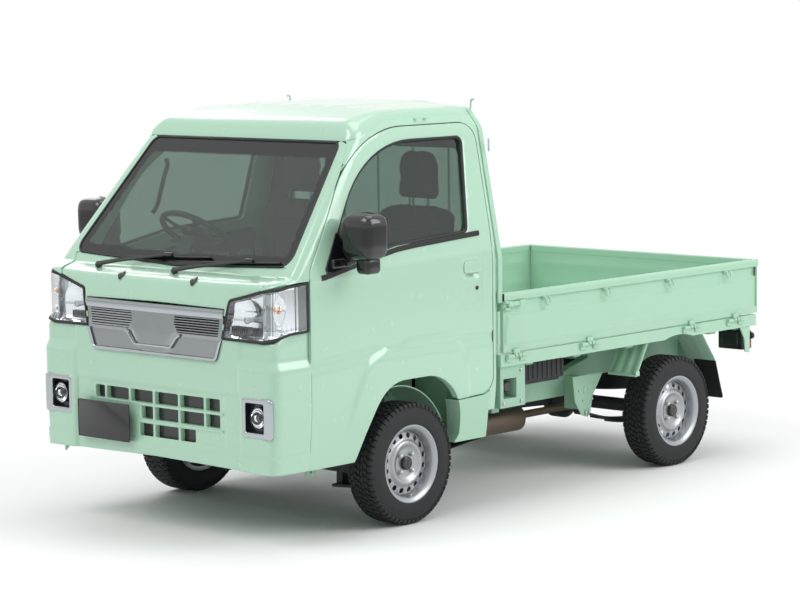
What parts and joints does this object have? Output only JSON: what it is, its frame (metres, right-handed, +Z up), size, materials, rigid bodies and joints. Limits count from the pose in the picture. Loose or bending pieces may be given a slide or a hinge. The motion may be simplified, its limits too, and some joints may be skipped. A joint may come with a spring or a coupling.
{
  "type": "kei truck",
  "caption": "Cab-over micro truck with two hinged doors, a steered front axle, four turning wheels and a flat bed with drop-down side and tail gates.",
  "frame": {"origin": "on the ground, at the middle of the overall length and width", "axes": "+Y towards the tailgate, +X towards the vehicle's left, +Z up"},
  "size_m": [1.731, 3.395, 1.802],
  "materials": {
    "body_paint": "glossy pastel green enamel",
    "chassis_paint": "satin pastel green enamel",
    "engine_iron": "rough cast",
    "exhaust_steel": "heat tinted",
    "dark_plastic": "grained moulding",
    "gloss_black": "gloss moulding",
    "chassis_steel": "semi-gloss black chassis paint",
    "tyre_rubber": "moulded rubber",
    "rim_steel": "silver lacquer on pressed steel",
    "grille_chrome": "bright plated",
    "lamp_glass": "clear moulded lens",
    "red_lens": "red moulded lens",
    "window_glass": "green tinted float glass",
    "seat_fabric": "dark woven cloth"
  },
  "bodies": {
    "root": {"frame_rails": "chassis_paint", "frame_crossmembers": "chassis_paint", "frame_brackets": "chassis_paint", "engine": "engine_iron", "exhaust": "exhaust_steel", "fuel_tank": "dark_plastic", "propeller_shaft": "chassis_steel", "rear_axle": "chassis_steel", "rear_springs": "chassis_steel", "front_suspension": "chassis_steel", "spare_wheel": "tyre_rubber", "cab_floor": "chassis_paint", "firewall": "chassis_paint", "seat_platform": "chassis_paint", "wheel_houses": "chassis_paint", "cab_sills": "chassis_paint", "front_bumper": "body_paint", "front_panel": "body_paint", "grille": "grille_chrome", "headlamps": "lamp_glass", "fog_lamps": "grille_chrome", "number_plate": "gloss_black", "windscreen_pillars": "body_paint", "cab_roof": "body_paint", "cab_rear_wall": "body_paint", "cab_glass": "window_glass", "wipers": "gloss_black", "dashboard": "dark_plastic", "steering_column": "dark_plastic", "seats": "seat_fabric", "bed_deck": "chassis_paint", "bed_crossbars": "chassis_paint", "bed_runners": "chassis_paint", "guard_frame": "chassis_paint", "tail_lamps": "red_lens", "rear_mudguards": "chassis_paint"},
    "steering_wheel_turning": {"steering_wheel": "dark_plastic"},
    "rack_and_tie_rods": {"steering_rack": "chassis_steel"},
    "left_knuckle": {"knuckle_left": "chassis_steel"},
    "right_knuckle": {"knuckle_right": "chassis_steel"},
    "front_left_wheel": {"tyre_front_left": "tyre_rubber", "rim_front_left": "rim_steel"},
    "front_right_wheel": {"tyre_front_right": "tyre_rubber", "rim_front_right": "rim_steel"},
    "rear_left_wheel": {"tyre_rear_left": "tyre_rubber", "rim_rear_left": "rim_steel"},
    "rear_right_wheel": {"tyre_rear_right": "tyre_rubber", "rim_rear_right": "rim_steel"},
    "left_door": {"door_left": "body_paint", "door_glass_left": "window_glass", "mirror_left": "gloss_black"},
    "right_door": {"door_right": "body_paint", "door_glass_right": "window_glass", "mirror_right": "gloss_black"},
    "left_side_gate": {"gate_left": "body_paint"},
    "right_side_gate": {"gate_right": "body_paint"},
    "rear_gate": {"tailgate": "body_paint"}
  },
  "joints": [
    {"name": "steering_wheel_turn", "type": "hinge", "parent": "root", "child": "steering_wheel_turning", "pos_m": [-0.355, -1.0775, 1.212], "axis": [0, 0.6157, 0.788], "range_deg": [-520, 520]},
    {"name": "rack_slide", "type": "slide", "parent": "root", "child": "rack_and_tie_rods", "axis": [1, 0, 0], "range_m": [-0.075, 0.075]},
    {"name": "steer_left", "type": "hinge", "parent": "root", "child": "left_knuckle", "pos_m": [0.619, -0.86, 0.148], "axis": [-0.2079, 0, 0.9781], "range_deg": [-34.2, 34.2]},
    {"name": "steer_right", "type": "hinge", "parent": "root", "child": "right_knuckle", "pos_m": [-0.619, -0.86, 0.148], "axis": [0.2079, 0, 0.9781], "range_deg": [-34.2, 34.2]},
    {"name": "spin_front_left", "type": "hinge", "parent": "left_knuckle", "child": "front_left_wheel", "pos_m": [0.652, -0.86, 0.264], "axis": [1, 0, 0], "continuous": true},
    {"name": "spin_front_right", "type": "hinge", "parent": "right_knuckle", "child": "front_right_wheel", "pos_m": [-0.652, -0.86, 0.264], "axis": [1, 0, 0], "continuous": true},
    {"name": "spin_rear_left", "type": "hinge", "parent": "root", "child": "rear_left_wheel", "pos_m": [0.652, 1.04, 0.264], "axis": [1, 0, 0], "continuous": true},
    {"name": "spin_rear_right", "type": "hinge", "parent": "root", "child": "rear_right_wheel", "pos_m": [-0.652, 1.04, 0.264], "axis": [1, 0, 0], "continuous": true},
    {"name": "open_door_left", "type": "hinge", "parent": "root", "child": "left_door", "pos_m": [0.7335, -1.4565, 0.8], "axis": [0, 0, -1], "range_deg": [0, 65]},
    {"name": "open_door_right", "type": "hinge", "parent": "root", "child": "right_door", "pos_m": [-0.7335, -1.4565, 0.8], "axis": [0, 0, 1], "range_deg": [0, 65]},
    {"name": "drop_gate_left", "type": "hinge", "parent": "root", "child": "left_side_gate", "pos_m": [0.742, 0.7, 0.664], "axis": [0, 1, 0], "range_deg": [0, 175]},
    {"name": "drop_gate_right", "type": "hinge", "parent": "root", "child": "right_side_gate", "pos_m": [-0.742, 0.7, 0.664], "axis": [0, -1, 0], "range_deg": [0, 175]},
    {"name": "drop_tailgate", "type": "hinge", "parent": "root", "child": "rear_gate", "pos_m": [0, 1.69, 0.664], "axis": [-1, 0, 0], "range_deg": [0, 175]}
  ],
  "couplings": [
    {"joint": "steer_left", "follows": "steering_wheel_turn", "ratio": 0.065385},
    {"joint": "steer_right", "follows": "steering_wheel_turn", "ratio": 0.065385},
    {"joint": "rack_slide", "follows": "steering_wheel_turn", "m_per_rad": 0.00801}
  ]
}
